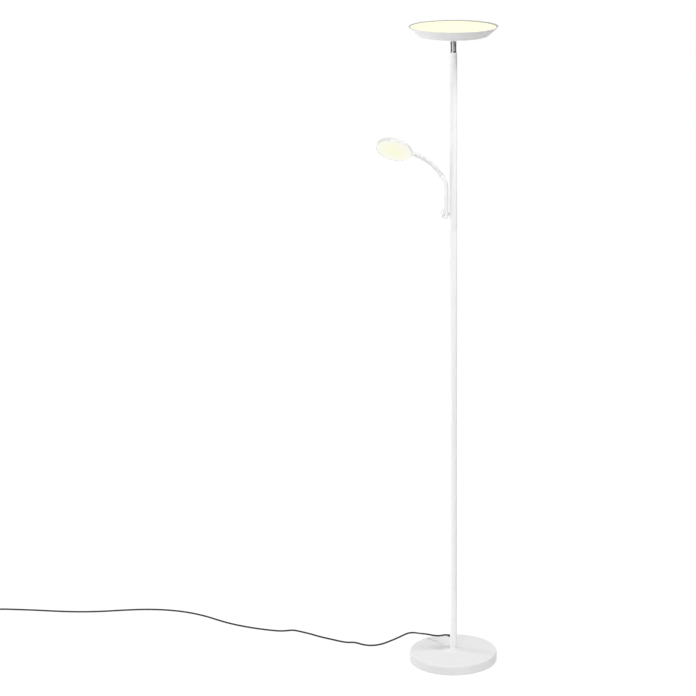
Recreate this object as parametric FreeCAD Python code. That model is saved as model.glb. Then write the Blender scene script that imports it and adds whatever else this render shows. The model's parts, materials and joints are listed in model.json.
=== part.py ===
"""Torchiere floor lamp with a reading light on a flexible arm.

Millimetres. The origin is on the floor at the pole's axis, +Z is up, +X is to the right
of somebody who faces the lamp, and +Y points away from them. The reading light is on the
left (-X) and the mains lead leaves the pole at the rear.
"""
import FreeCAD, Part
import math
import os

V = FreeCAD.Vector

# One millimetre each way, which is also as far as a cut runs past a face and as far as
# shapes that become one solid run into each other.
UP = V(0, 0, 1)
LEFT = V(-1, 0, 0)
RIGHT = V(1, 0, 0)

# ---- fits -----------------------------------------------------------------------------
push_fit = 0.05            # radial gap of a piece pushed into another of the same body
turning_fit = 0.05         # radial gap of a pin that turns
clear_hole = 0.3           # radial gap of a screw, a lead or a nut in its hole
body_gap = 0.4             # gap between pieces that move past each other

# ---- overall --------------------------------------------------------------------------
lamp_height = 1800.0

# ---- base -----------------------------------------------------------------------------
base_diameter = 246.0
base_rim_height = 26.7
base_crown_height = 35.7
base_crown_diameter = 31.0
base_flare_diameter = 62.0
base_flare_height = 29.9
base_flare_round = 40.0
base_rim_round = 3.0
base_sheet = 1.2
cover_above_floor = 1.0
pad_thickness = 2.0
pad_inset = 6.0
weight_thickness = 17.0
weight_side_gap = 1.0
hub_diameter = 27.0
hub_foot_diameter = 60.0
hub_foot_height = 8.0      # of the cone between the weight and its hub
bolt_diameter = 10.0
bolt_head_across = 17.0
bolt_head_height = 6.4
bolt_washer_diameter = 20.0
bolt_washer_thickness = 2.0
bolt_head_cover = 3.0      # from the floor up to the bolt's head
foot_plug_length = 25.0
bolt_end_gap = 2.0

# ---- pole -----------------------------------------------------------------------------
pole_diameter = 20.0
pole_wall = 1.2
pole_upper_length = 482.0  # of the uppermost of its three tubes
coupler_length = 60.0
coupler_wall = 1.8
top_plug_length = 22.0

# ---- mains lead -----------------------------------------------------------------------
cord_diameter = 5.0
cord_exit_height = 68.0    # where the lead's line meets the pole's axis
cord_exit_turn = 30.0      # degrees from straight back towards the left
cord_exit_fall = 12.0      # degrees below level
relief_start = 4.0
relief_flange_diameter = 9.4
relief_flange_length = 2.4
relief_neck_diameter = 8.0
relief_root_diameter = 9.2
relief_tip_diameter = 6.2
relief_reach = 32.0        # from the pole's axis to the tip
first_run = 14.0           # straight length beyond the tip
pole_cable_diameter = 4.4
pole_cable_turn_in = 4.5   # the cable's corner inside the pole, beyond the axis
pole_cable_bend = 9.5
arc_share = 0.45           # of the shorter run, taken by an arc on each side of a corner
coil_diameter = 64.0       # to the middle of the outermost turn
coil_side_step = 5.6       # per turn
coil_layer_step = 5.5
coil_turn_in = 270         # degrees wound inwards on the lower layer
coil_reverse = 180         # degrees in which it climbs and reverses
coil_turn_out = 270
coil_step = 90             # degrees between the points of the coil
coil_lead = cord_diameter  # straight length at each end of the coil
tail_length = 26.0         # from the coil to the plug
plug_length = 38.0
plug_neck_length = 12.0
plug_neck_diameter = 9.0
plug_width = 35.0
plug_nose_round = 6.0
plug_edge_round = 1.0
pin_diameter = 4.0
pin_length = 19.0
pin_spacing = 19.0
pin_root = 6.0             # depth of a pin's root in the plug

# ---- foot of the reading arm ----------------------------------------------------------
arm_offset = 19.8          # from the pole's axis to the arm's
arm_diameter = 12.4
arm_wall = 1.0
peg_above_seam = 43.0
arm_foot_below_peg = 13.0
arm_foot_height = 24.0
arm_foot_round = 5.0
arm_spigot_length = 12.0
peg_diameter = 8.0
peg_thread_diameter = 6.0
peg_into_foot = 3.2
peg_nut_across = 10.0
peg_nut_thickness = 3.4
pot_diameter = 8.4
pot_length = 4.8
pot_bush_diameter = 5.2
dimmer_shaft_diameter = 3.0
dimmer_shaft_in = 2.0      # into the potentiometer's body
knob_diameter = 24.0
knob_thickness = 6.6
knob_round = 3.0
knob_skin = 1.6            # left outside the end of the shaft
knob_mark_diameter = 2.0
knob_mark_depth = 0.5

# ---- bent tube and gooseneck ----------------------------------------------------------
arm_bend_radius = 58.0
arm_bend_angle = 30.0      # heading at the tube's end, in degrees from upright
arm_rise = 102.5           # from the peg to the tube's upper end
ferrule_diameter = 13.6
ferrule_length = 8.0
ferrule_cover = 5.0        # length of tube inside the ferrule
ferrule_foot_round = 0.3
ferrule_end_round = 0.8
gooseneck_end_angle = 74.0
link_count = 8
ribs_per_link = 4
rib_pitch = 3.0
rib_root_width = 1.4
rib_slope_width = 0.3
rib_crest_diameter = 12.4
rib_root_diameter = 10.4
neck_outer_diameter = 6.4
wire_bore_diameter = 4.4
neck_reach = 2.2           # into the next link
socket_diameter = 8.8
socket_depth = 3.4

# ---- reading head ---------------------------------------------------------------------
head_roll = 42.0           # degrees from straight down towards the viewer
head_distance = 54.4       # from the last joint of the gooseneck to the head's centre
head_face_diameter = 98.0
head_back_diameter = 96.0
head_depth = 13.0
head_back_round = 5.0
head_wall = 1.2
head_axis_depth = 6.8      # from the face to the swivel's axis
stem_diameter = 12.4
stem_length = 5.0
stem_foot_round = 0.5
stem_end_round = 1.2
swivel_bore_diameter = 2.2
swivel_diameter = 6.0
swivel_nut_across = 7.4
swivel_nut_thickness = 3.0
swivel_boss_diameter = 8.8
swivel_end_spare = 1.0
reading_diffuser_thickness = 1.6
reading_diffuser_inset = 0.6
reading_board_diameter = 62.0
reading_board_thickness = 1.2
reading_board_lift = 1.4   # height of the bosses that it is screwed to
reading_led_ring_diameter = 40.0
reading_led_count = 12
reading_screw_ring_diameter = 52.0
reading_screw_count = 3
reading_boss_diameter = 5.0

# ---- tilting neck ---------------------------------------------------------------------
neck_diameter = 16.0
neck_height = 44.0         # from the pole's top to the bowl
fork_collar_height = 6.0
tilt_pin_above_pole = 22.0
tongue_thickness = 6.2
tongue_tail = 15.0         # from the pin down to the tongue's rounded end
friction_washer_thickness = 0.6
friction_washer_diameter = 12.0
tilt_pin_diameter = 5.0
tilt_head_diameter = 8.4
tilt_head_sink = 2.0
neck_shoulder_gap = 2.0
fork_stud_diameter = 8.0
fork_stud_length = 15.0
bowl_stud_diameter = 9.8
bowl_stud_length = 9.0
bowl_nut_across = 14.0
bowl_nut_thickness = 4.0

# ---- uplight --------------------------------------------------------------------------
bowl_bottom_diameter = 184.0
bowl_height = 26.0
bowl_belly_height = 12.5
bowl_belly_outset = 14.5   # of the side's middle corner beyond the bottom's edge
bowl_rim_outset = 14.5     # of the rim beyond the middle corner
bowl_bottom_round = 8.0
bowl_belly_round = 70.0
bowl_wall = 1.0
diffuser_thickness = 2.0
diffuser_inset = 2.6
ring_width = 1.7
ring_thickness = 1.6
uplight_board_outset = 6.0 # beyond the bottom's edge
uplight_board_thickness = 1.5
standoff_height = 13.0
standoff_diameter = 6.0
standoff_inset = 17.0      # from the bottom's edge
standoff_count = 4
driver_length = 70.0
driver_width = 36.0
driver_height = 11.0
driver_offset = 44.0
led_ring_insets = (63.0, 34.0, 8.0)  # from the board's edge
led_spacing = 25.0

# ---- small hardware -------------------------------------------------------------------
led_width = 3.0
led_height = 0.8
screw_diameter = 2.5
screw_head_diameter = 5.0
screw_head_height = 1.4

# ---- derived --------------------------------------------------------------------------
pole_radius = pole_diameter / 2
pole_bore = pole_radius - pole_wall
arm_radius = arm_diameter / 2
cord_radius = cord_diameter / 2
bowl_belly_diameter = bowl_bottom_diameter + 2 * bowl_belly_outset
bowl_diameter = bowl_belly_diameter + 2 * bowl_rim_outset
uplight_board_diameter = bowl_bottom_diameter + 2 * uplight_board_outset
standoff_ring_diameter = bowl_bottom_diameter - 2 * standoff_inset
bowl_floor = lamp_height - bowl_height
pole_top_height = bowl_floor - neck_height
pole_seam_height = pole_top_height - pole_upper_length
lower_seam_height = (base_crown_height + pole_seam_height) / 2
peg_height = pole_seam_height + peg_above_seam
arm_foot_bottom = peg_height - arm_foot_below_peg
arm_tube_end_height = peg_height + arm_rise
tilt_height = pole_top_height + tilt_pin_above_pole
groove = rib_pitch - rib_root_width
link_pitch = rib_pitch * ribs_per_link
arm_turn = math.radians(arm_bend_angle)
arm_bend_end = arm_tube_end_height - ferrule_cover * math.cos(arm_turn)
arm_bend_start = arm_bend_end - arm_bend_radius * math.sin(arm_turn)
joint_bend = (gooseneck_end_angle - arm_bend_angle) / (link_count + 1)
peg_foot_side = -arm_offset + arm_radius
exit_turn = math.radians(cord_exit_turn)
exit_fall = math.radians(cord_exit_fall)
exit_direction = V(
    -math.sin(exit_turn) * math.cos(exit_fall),
    math.cos(exit_turn) * math.cos(exit_fall),
    -math.sin(exit_fall),
)
exit_axis = V(0, 0, cord_exit_height)
relief_tip = exit_axis + exit_direction * relief_reach

# The lead's route from the tip of the strain relief, over the base's rear left rim and
# along the floor. Each point is a corner that its arc passes inside.
floor_height = cord_radius
cord_points = [
    relief_tip,
    relief_tip + exit_direction * first_run,
    V(-40, 58, 46.6),
    V(-57, 75, 41.2),
    V(-78, 98, 36.4),
    V(-94, 126, 26.5),
    V(-103, 160, 14.0),
    V(-114, 187, 5.0),
    V(-131.5, 191.5, floor_height),
    V(-157, 158, floor_height),
    V(-184, 126, floor_height),
    V(-211, 100, floor_height),
    V(-240, 93, floor_height),
    V(-263, 102, floor_height),
    V(-284, 119, floor_height),
    V(-307, 117, floor_height),
    V(-327, 126, floor_height),
    V(-357, 144, floor_height),
    V(-387, 161, floor_height),
    V(-417, 184, floor_height),
    V(-447, 202, floor_height),
    V(-468, 214, floor_height),
    V(-491, 206, floor_height),
    V(-514, 206, floor_height),
    V(-559, 219, floor_height),
    V(-610, 239, floor_height),
    V(-656, 264, floor_height),
    V(-694, 291, floor_height),
    V(-729, 320, floor_height),
    V(-785, 353, floor_height),
    V(-845, 372, floor_height),
    V(-912, 379, floor_height),
    V(-980, 372, floor_height),
    V(-1045, 361, floor_height),
    V(-1110, 357, floor_height),
    V(-1178, 362, floor_height),
    V(-1242, 371, floor_height),
    V(-1305, 377, floor_height),
    V(-1346, 380, floor_height),
    V(-1374, 378, floor_height),
    V(-1391, 376, floor_height),
]
cord_end = V(-1405, 376, floor_height)


# ---- shapes ---------------------------------------------------------------------------
def bend(start, corner, end):
    """Arc that is tangent at its ends to two equal lines meeting at a corner."""
    middle = (start + end) * 0.5
    half_chord = start.distanceToPoint(end) / 2
    side = start.distanceToPoint(corner)
    rise = half_chord * (side - half_chord) / corner.distanceToPoint(middle)
    top = middle + (corner - middle).normalize() * rise
    return Part.Arc(start, top, end).toShape()


def rounded_edges(points, radii):
    """Straight runs through points, with an arc of the given radius at each inner one."""
    edges = []
    start = points[0]
    for before, corner, after, radius in zip(points, points[1:], points[2:], radii):
        into = (corner - before).normalize()
        out = (after - corner).normalize()
        reach = radius * math.tan(into.getAngle(out) / 2)
        run_end = corner - into * reach
        edges.append(Part.LineSegment(start, run_end).toShape())
        start = run_end
        if radius > 0:
            start = corner + out * reach
            edges.append(bend(run_end, corner, start))
    edges.append(Part.LineSegment(start, points[-1]).toShape())
    return edges


def turned(outline):
    """Solid of revolution about Z of (radius, height) or (radius, height, rounding) corners.

    The first corner is a sharp one.
    """
    points = [V(corner[0], 0, corner[1]) for corner in outline]
    radii = [corner[2] if len(corner) > 2 else 0 for corner in outline[1:]]
    wire = Part.Wire(rounded_edges(points + points[:1], radii))
    return Part.Face(wire).revolve(V(0, 0, 0), UP, 360)


def rod(radius, start, end):
    """Cylinder between two points."""
    return Part.makeCylinder(radius, start.distanceToPoint(end), start, end - start)


def sleeve(outer, inner, start, end):
    """Tube between two points."""
    return rod(outer, start, end).cut(rod(inner, start, end))


def hexagon(across, start, end):
    """Hexagonal bar between two points."""
    corner = across / math.sqrt(3)
    corners = [
        V(corner * math.cos(math.radians(60 * i)), corner * math.sin(math.radians(60 * i)), 0)
        for i in range(6)
    ]
    bar = Part.Face(Part.makePolygon(corners + corners[:1]))
    bar = bar.extrude(UP * start.distanceToPoint(end))
    bar.Placement = FreeCAD.Placement(start, FreeCAD.Rotation(UP, end - start))
    return bar


def block(low, high):
    """Box between two corners."""
    size = high - low
    return Part.makeBox(size.x, size.y, size.z, low)


def on_axis(shape, origin, direction):
    """The shape with its own origin moved to a point and its Z turned to a direction."""
    placed = shape.copy()
    placed.Placement = FreeCAD.Placement(origin, FreeCAD.Rotation(UP, direction))
    return placed


def in_frame(shape, origin, x_axis, z_axis):
    """The shape moved into the frame with this origin, X and Z."""
    y_axis = z_axis.cross(x_axis)
    matrix = FreeCAD.Matrix(
        x_axis.x, y_axis.x, z_axis.x, origin.x,
        x_axis.y, y_axis.y, z_axis.y, origin.y,
        x_axis.z, y_axis.z, z_axis.z, origin.z,
        0, 0, 0, 1,
    )
    placed = shape.copy()
    placed.Placement = FreeCAD.Placement(matrix)
    return placed


def ring_of_points(radius, count, height=0.0, first=0.0):
    """Evenly spaced points on a circle about Z."""
    angles = [first + 2 * math.pi * i / count for i in range(count)]
    return [V(radius * math.cos(a), radius * math.sin(a), height) for a in angles]


def fused(shapes):
    """One solid of overlapping shapes."""
    whole = shapes[0].multiFuse(shapes[1:])
    return whole.removeSplitter()


def save(node, *solids):
    """Write one sub-part, and say if a solid of it is not sound."""
    shape = solids[0] if len(solids) == 1 else Part.makeCompound(list(solids))
    bad = [s for s in shape.Solids if not s.isValid() or s.Volume <= 0]
    if bad or not shape.Solids:
        print("unsound:", node)
    shape.exportStep(f"parts/{node}.step")


# ---- base -----------------------------------------------------------------------------
def make_base():
    rim = base_diameter / 2
    crown = base_crown_diameter / 2
    flare = base_flare_diameter / 2
    hub = hub_diameter / 2
    hub_top = base_crown_height - base_sheet
    hole = bolt_diameter / 2 + clear_hole
    save("base_pad", rod(rim - pad_inset, V(0, 0, 0), V(0, 0, pad_thickness)))

    save("base_cover", turned([
        (hole, base_crown_height),
        (crown, base_crown_height, base_sheet),
        (flare, base_flare_height, base_flare_round),
        (rim, base_rim_height, base_rim_round),
        (rim, cover_above_floor),
        (rim - base_sheet, cover_above_floor),
        (rim - base_sheet, base_rim_height - base_sheet, base_rim_round - base_sheet),
        (flare, base_flare_height - base_sheet, base_flare_round + base_sheet),
        (crown - base_sheet / 2, hub_top),
        (hole, hub_top),
    ]))

    weight_radius = rim - base_sheet - weight_side_gap
    weight_top = pad_thickness + weight_thickness
    head_base = bolt_head_cover
    washer_base = head_base + bolt_head_height
    washer_top = washer_base + bolt_washer_thickness
    recess = bolt_washer_diameter / 2 + 2 * clear_hole
    save("base_weight", turned([
        (hole, hub_top),
        (hub, hub_top),
        (hub, weight_top + hub_foot_height),
        (hub_foot_diameter / 2, weight_top),
        (weight_radius, weight_top, base_rim_round),
        (weight_radius, pad_thickness),
        (recess, pad_thickness),
        (recess, washer_top),
        (hole, washer_top),
    ]))

    bolt_tip = base_crown_height + foot_plug_length - bolt_end_gap
    head = hexagon(bolt_head_across, V(0, 0, head_base), V(0, 0, washer_base))
    shank = rod(bolt_diameter / 2, V(0, 0, washer_base) - UP, V(0, 0, bolt_tip))
    washer = sleeve(bolt_washer_diameter / 2, hole, V(0, 0, washer_base), V(0, 0, washer_top))
    save("base_bolt", fused([head, shank]))
    save("base_washer", washer)


# ---- pole -----------------------------------------------------------------------------
def make_pole():
    plug = pole_bore - push_fit
    foot = V(0, 0, base_crown_height)
    foot_top = V(0, 0, base_crown_height + foot_plug_length)
    save("pole_foot_plug", sleeve(plug, bolt_diameter / 2 + push_fit, foot, foot_top))

    lower_seam = V(0, 0, lower_seam_height)
    seam = V(0, 0, pole_seam_height)
    top = V(0, 0, pole_top_height)
    lead_hole = rod(relief_neck_diameter / 2 + clear_hole, exit_axis, relief_tip)
    save("pole_lower_tube", sleeve(pole_radius, pole_bore, foot, lower_seam).cut(lead_hole))
    save("pole_middle_tube", sleeve(pole_radius, pole_bore, lower_seam, seam))
    peg_hole = rod(peg_thread_diameter / 2 + push_fit, V(0, 0, peg_height), V(-pole_diameter, 0, peg_height))
    save("pole_upper_tube", sleeve(pole_radius, pole_bore, seam, top).cut(peg_hole))

    half = UP * (coupler_length / 2)
    for node, middle in (("pole_coupler_lower", lower_seam), ("pole_coupler_upper", seam)):
        save(node, sleeve(plug, plug - coupler_wall, middle - half, middle + half))

    stud_hole = fork_stud_diameter / 2 + push_fit
    save("pole_top_plug", sleeve(plug, stud_hole, top - UP * top_plug_length, top))


# ---- mains lead -----------------------------------------------------------------------
def make_strain_relief():
    flange_end = relief_start + relief_flange_length
    root_radius = relief_root_diameter / 2
    root = (pole_radius + root_radius * math.sin(exit_fall)) / math.cos(exit_fall) + clear_hole
    save("cord_strain_relief", on_axis(turned([
        (0, relief_start),
        (relief_flange_diameter / 2, relief_start),
        (relief_flange_diameter / 2, flange_end),
        (relief_neck_diameter / 2, flange_end),
        (relief_neck_diameter / 2, root),
        (root_radius, root),
        (relief_tip_diameter / 2, relief_reach),
        (0, relief_reach),
    ]), exit_axis, exit_direction))


def sweep(edges, radius):
    """Round tube along a path of tangent edges."""
    path = Part.Wire(edges)
    start = path.Edges[0]
    tangent = start.tangentAt(start.FirstParameter)
    section = Part.Wire(Part.makeCircle(radius, start.valueAt(start.FirstParameter), tangent))
    return path.makePipeShell([section], True, False)


def make_pole_cable():
    start = exit_axis + exit_direction * relief_start
    corner = exit_axis - exit_direction * pole_cable_turn_in
    end = V(corner.x, corner.y, pole_top_height - top_plug_length)
    edges = rounded_edges([start, corner, end], [pole_cable_bend])
    save("pole_cable", sweep(edges, pole_cable_diameter / 2))


def cord_radii(points):
    """Arc radius at each inner point, from the two runs beside it and the turn."""
    radii = []
    for before, corner, after in zip(points, points[1:], points[2:]):
        turn = (corner - before).getAngle(after - corner)
        shorter = min(before.distanceToPoint(corner), corner.distanceToPoint(after))
        radii.append(arc_share * shorter / math.tan(turn / 2))
    return radii


def make_cord():
    points = cord_points + [cord_end]
    radii = cord_radii(points)
    edges = rounded_edges(points, radii)
    tube = sweep(edges, cord_radius)
    length = sum(edge.Length for edge in edges)
    print("cord arc radii:", [round(r, 1) for r in radii])
    print(f"cord stretch {length:.1f} long, volume {tube.Volume:.0f},",
          f"section times length {math.pi * cord_radius ** 2 * length:.0f}")
    save("cord_stretch", tube)
    return length


def coil_state(turned_by):
    """Point and heading of the coil after this many degrees.

    The lead arrives heading left, so the coil's centre is in front of its first point.
    """
    last = coil_turn_in + coil_reverse + coil_turn_out
    middle = coil_turn_in + coil_reverse / 2
    slope = coil_side_step / 360
    radius = coil_diameter / 2 - slope * (middle - abs(turned_by - middle))
    drift = 0.0 if turned_by in (0, middle, last) else math.copysign(slope, turned_by - middle)
    climbed = min(max((turned_by - coil_turn_in) / coil_reverse, 0), 1)
    height = floor_height + coil_layer_step * (1 - math.cos(math.pi * climbed)) / 2
    rise = coil_layer_step * math.pi * math.sin(math.pi * climbed) / (2 * coil_reverse)
    angle = math.radians(90 + turned_by)
    outward = V(math.cos(angle), math.sin(angle), 0)
    onward = V(-math.sin(angle), math.cos(angle), 0)
    centre = V(cord_end.x - coil_lead, cord_end.y - coil_diameter / 2, 0)
    heading = onward * math.radians(radius) + outward * drift + UP * rise
    return centre + outward * radius + UP * height, heading.normalize()


def biarc(start, start_heading, end, end_heading):
    """Two arcs, tangent to each other and to the headings at both ends."""
    span = end - start
    both = start_heading + end_heading
    a = 2 * (start_heading.dot(end_heading) - 1)
    b = -2 * span.dot(both)
    c = span.dot(span)
    side = (-b - math.sqrt(b * b - 4 * a * c)) / (2 * a)
    first = start + start_heading * side
    second = end - end_heading * side
    join = (first + second) * 0.5
    return [bend(start, first, join), bend(join, second, end)]


def make_coil():
    last = coil_turn_in + coil_reverse + coil_turn_out
    states = [coil_state(turned_by) for turned_by in range(0, last + 1, coil_step)]
    edges = [Part.LineSegment(cord_end, states[0][0]).toShape()]
    for (start, heading), (end, end_heading) in zip(states, states[1:]):
        edges += biarc(start, heading, end, end_heading)
    finish = states[-1][0] + LEFT * coil_lead
    edges.append(Part.LineSegment(states[-1][0], finish).toShape())
    tube = sweep(edges, cord_radius)

    samples = []
    length = 0.0
    for edge in edges:
        count = max(2, int(edge.Length))
        for point in edge.discretize(count)[:-1]:
            samples.append((length, point))
            length += edge.Length / (count - 1)
    gaps = [
        p.distanceToPoint(q) - cord_diameter
        for i, (s, p) in enumerate(samples)
        for t, q in samples[i + 1:]
        if t - s > 4 * cord_diameter
    ]
    print(f"coil {length:.1f} long, least gap to itself {min(gaps):.2f}, volume {tube.Volume:.0f},",
          f"section times length {math.pi * cord_radius ** 2 * length:.0f}")
    save("cord_coil", tube)
    return length, finish


def make_tail(start):
    end = start + LEFT * tail_length
    save("cord_tail", rod(cord_radius, start, end))
    return end


def make_plug(start):
    """Flat two-pin plug lying on the floor, with its axis at the height of the coil's end."""
    half_height = start.z
    neck_end = start + LEFT * plug_neck_length
    back = start + LEFT * plug_length
    neck = rod(plug_neck_diameter / 2, start, neck_end + LEFT)
    outline = [
        V(neck_end.x, start.y - plug_neck_diameter, 0),
        V(neck_end.x - plug_neck_length, start.y - plug_width / 2, 0),
        V(back.x, start.y - plug_width / 2, 0),
        V(back.x, start.y + plug_width / 2, 0),
        V(neck_end.x - plug_neck_length, start.y + plug_width / 2, 0),
        V(neck_end.x, start.y + plug_neck_diameter, 0),
    ]
    first = V(neck_end.x, start.y, 0)
    radii = [0, plug_nose_round, plug_edge_round, plug_edge_round, plug_nose_round, 0]
    wire = Part.Wire(rounded_edges([first] + outline + [first], radii))
    body = Part.Face(wire).extrude(UP * (2 * half_height))
    roots = []
    pins = []
    for side in (-1, 1):
        face = back + V(0, side * pin_spacing / 2, 0)
        root = face - LEFT * pin_root
        roots.append(rod(pin_diameter / 2, root, face + LEFT))
        tip = face + LEFT * pin_length
        pin = rod(pin_diameter / 2, root, tip)
        pins.append(pin)
    save("plug_body", fused([body, neck]).cut(Part.makeCompound(roots)))
    save("plug_pins", *pins)


# ---- foot of the reading arm ----------------------------------------------------------
def make_arm_foot():
    axis = V(-arm_offset, 0, peg_height)
    pole_side = V(-pole_bore, 0, peg_height)
    thread_end = V(peg_foot_side - peg_into_foot, 0, peg_height)
    nut_face = V(-math.sqrt(pole_bore ** 2 - (peg_nut_across / math.sqrt(3)) ** 2), 0, peg_height)
    nut_end = nut_face + RIGHT * peg_nut_thickness
    top = arm_foot_bottom + arm_foot_height

    shoulder = rod(peg_diameter / 2, pole_side, V(peg_foot_side, 0, peg_height) + LEFT)
    beyond = UP * peg_diameter
    pole_space = rod(pole_radius, V(0, 0, peg_height) - beyond, V(0, 0, peg_height) + beyond)
    foot_space = rod(arm_radius, axis - beyond, axis + beyond)
    shoulder = shoulder.cut(pole_space).cut(foot_space)
    shank = rod(peg_thread_diameter / 2, thread_end, nut_end)
    save("arm_peg", fused([shoulder, shank]))
    nut = hexagon(peg_nut_across, nut_face, nut_end)
    save("arm_peg_nut", nut.cut(rod(peg_thread_diameter / 2 + push_fit, nut_face, nut_end)))

    pot_face = V(-arm_offset - pot_length / 2, 0, peg_height)
    pot_back = pot_face + RIGHT * pot_length
    foot_side = V(-arm_offset - arm_radius, 0, peg_height)
    spigot = arm_radius - arm_wall - push_fit
    body = turned([
        (0, arm_foot_bottom),
        (arm_radius, arm_foot_bottom, arm_foot_round),
        (arm_radius, top),
        (spigot, top),
        (spigot, top + arm_spigot_length),
        (0, top + arm_spigot_length),
    ])
    body.translate(V(-arm_offset, 0, 0))
    wire_way = rod(wire_bore_diameter / 2, axis, V(-arm_offset, 0, top + arm_spigot_length))
    pot_space = rod(pot_diameter / 2 + push_fit, pot_back, foot_side + LEFT)
    peg_space = rod(peg_thread_diameter / 2 + push_fit, thread_end, pole_side)
    save("arm_foot", body.cut(Part.makeCompound([wire_way, pot_space, peg_space])))

    shaft_start = pot_face + RIGHT * dimmer_shaft_in
    pot = fused([
        rod(pot_diameter / 2, pot_face, pot_back),
        rod(pot_bush_diameter / 2, pot_face + RIGHT, foot_side),
    ])
    bore_end = shaft_start + RIGHT * body_gap
    shaft_bore = rod(dimmer_shaft_diameter / 2 + turning_fit, bore_end, foot_side + LEFT)
    save("dimmer_potentiometer", pot.cut(shaft_bore))

    knob_face = foot_side + LEFT * body_gap
    shaft_end = knob_face + LEFT * (knob_thickness - knob_skin)
    save("dimmer_shaft", rod(dimmer_shaft_diameter / 2, shaft_start, shaft_end))
    knob_radius = knob_diameter / 2
    bore = dimmer_shaft_diameter / 2 + push_fit
    knob = turned([
        (bore, 0),
        (knob_radius, 0, knob_round / 4),
        (knob_radius, knob_thickness, knob_round),
        (0, knob_thickness),
        (0, knob_thickness - knob_skin),
        (bore, knob_thickness - knob_skin),
    ])
    mark = V(knob_radius - knob_round - knob_mark_diameter, 0, knob_thickness - knob_mark_depth)
    knob = knob.cut(rod(knob_mark_diameter / 2, mark, mark + UP))
    save("dimmer_knob", on_axis(knob, knob_face, LEFT))


# ---- bent tube and gooseneck ----------------------------------------------------------
def heading(angle):
    """Direction in the arm's plane, by degrees from upright towards the left."""
    return V(-math.sin(math.radians(angle)), 0, math.cos(math.radians(angle)))


def arm_tube_end():
    """Centre of the tube's upper end, beyond the straight length inside the ferrule."""
    side = arm_bend_radius * (1 - math.cos(arm_turn)) + ferrule_cover * math.sin(arm_turn)
    return V(-arm_offset - side, 0, arm_tube_end_height)


def first_joint():
    """Centre of the joint between the ferrule and the first link."""
    return arm_tube_end() + heading(arm_bend_angle) * (ferrule_length - ferrule_cover + groove / 2)


def make_arm_tube():
    start = V(-arm_offset, 0, arm_foot_bottom + arm_foot_height)
    bend_start = V(-arm_offset, 0, arm_bend_start)
    end = arm_tube_end()
    bend_end = end - heading(arm_bend_angle) * ferrule_cover
    corner = bend_start + UP * (arm_bend_radius * math.tan(arm_turn / 2))
    edges = [
        Part.LineSegment(start, bend_start).toShape(),
        bend(bend_start, corner, bend_end),
        Part.LineSegment(bend_end, end).toShape(),
    ]
    save("arm_tube", sweep(edges, arm_radius).cut(sweep(edges, arm_radius - arm_wall)))


def neck_outline(face):
    """Corners of the neck that stands on an upper face and reaches into the next link."""
    tip = face + groove + neck_reach
    return [
        (neck_outer_diameter / 2, face),
        (neck_outer_diameter / 2, tip),
        (wire_bore_diameter / 2, tip),
    ]


def make_ferrule():
    tube_space = arm_radius + push_fit
    save("arm_ferrule", on_axis(turned([
        (tube_space, 0),
        (ferrule_diameter / 2, 0, ferrule_foot_round),
        (ferrule_diameter / 2, ferrule_length, ferrule_end_round),
        *neck_outline(ferrule_length),
        (wire_bore_diameter / 2, ferrule_cover),
        (tube_space, ferrule_cover),
    ]), arm_tube_end() - heading(arm_bend_angle) * ferrule_cover, heading(arm_bend_angle)))


def make_link():
    """One stretch of gooseneck standing on its joint, which is at the link's origin."""
    low = groove / 2
    socket = socket_diameter / 2
    wire = wire_bore_diameter / 2
    root = rib_root_diameter / 2
    crest = rib_crest_diameter / 2
    outline = [(socket, low)]
    for i in range(ribs_per_link):
        base = low + i * rib_pitch
        outline += [
            (root, base),
            (crest, base + rib_slope_width),
            (crest, base + rib_root_width - rib_slope_width),
            (root, base + rib_root_width),
        ]
    outline += neck_outline(link_pitch - low)
    outline += [(wire, low + socket_depth), (socket, low + socket_depth)]
    return turned(outline)


def make_gooseneck():
    """The row of links; returns the last joint's place."""
    link = make_link()
    joint = first_joint()
    for i in range(1, link_count + 1):
        direction = heading(arm_bend_angle + i * joint_bend)
        save(f"gooseneck_link_{i}", on_axis(link, joint, direction))
        joint = joint + direction * link_pitch
    return joint


# ---- reading head ---------------------------------------------------------------------
def head_radius(depth):
    """Outside radius of the head's cone at a depth behind its face."""
    return (head_face_diameter - (head_face_diameter - head_back_diameter) * depth / head_depth) / 2


def head_wall_across():
    """Thickness of the head's sloping wall, measured level with its face."""
    return head_wall * math.hypot(head_depth, (head_face_diameter - head_back_diameter) / 2) / head_depth


def swivel_seat():
    """Distance from the head's centre to the seat of the swivel's nut.

    The nut's upper corner stays clear of the round inside the head's back edge.
    """
    roof = head_depth - head_wall
    inner_round = head_back_round - head_wall
    nut_top = head_axis_depth + swivel_nut_across / math.sqrt(3)
    rise = nut_top - (roof - inner_round)
    round_centre = head_radius(roof) - head_wall_across() - inner_round
    return round_centre + math.sqrt(inner_round ** 2 - rise ** 2) - clear_hole


def make_stem(joint):
    socket = socket_diameter / 2
    low = groove / 2
    swivel = swivel_diameter / 2
    bore = swivel_bore_diameter / 2
    nut_face = head_distance - swivel_seat() + turning_fit
    nut_end = nut_face + swivel_nut_thickness
    swivel_end = nut_end + swivel_end_spare
    axis = heading(gooseneck_end_angle)
    save("head_stem", on_axis(turned([
        (socket, low),
        (stem_diameter / 2, low, stem_foot_round),
        (stem_diameter / 2, stem_length, stem_end_round),
        (swivel, stem_length),
        (swivel, swivel_end),
        (bore, swivel_end),
        (bore, low + socket_depth),
        (socket, low + socket_depth),
    ]), joint, axis))
    start = joint + axis * nut_face
    end = joint + axis * nut_end
    nut = hexagon(swivel_nut_across, start, end)
    save("swivel_nut", nut.cut(rod(swivel + push_fit, start, end)))


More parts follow.
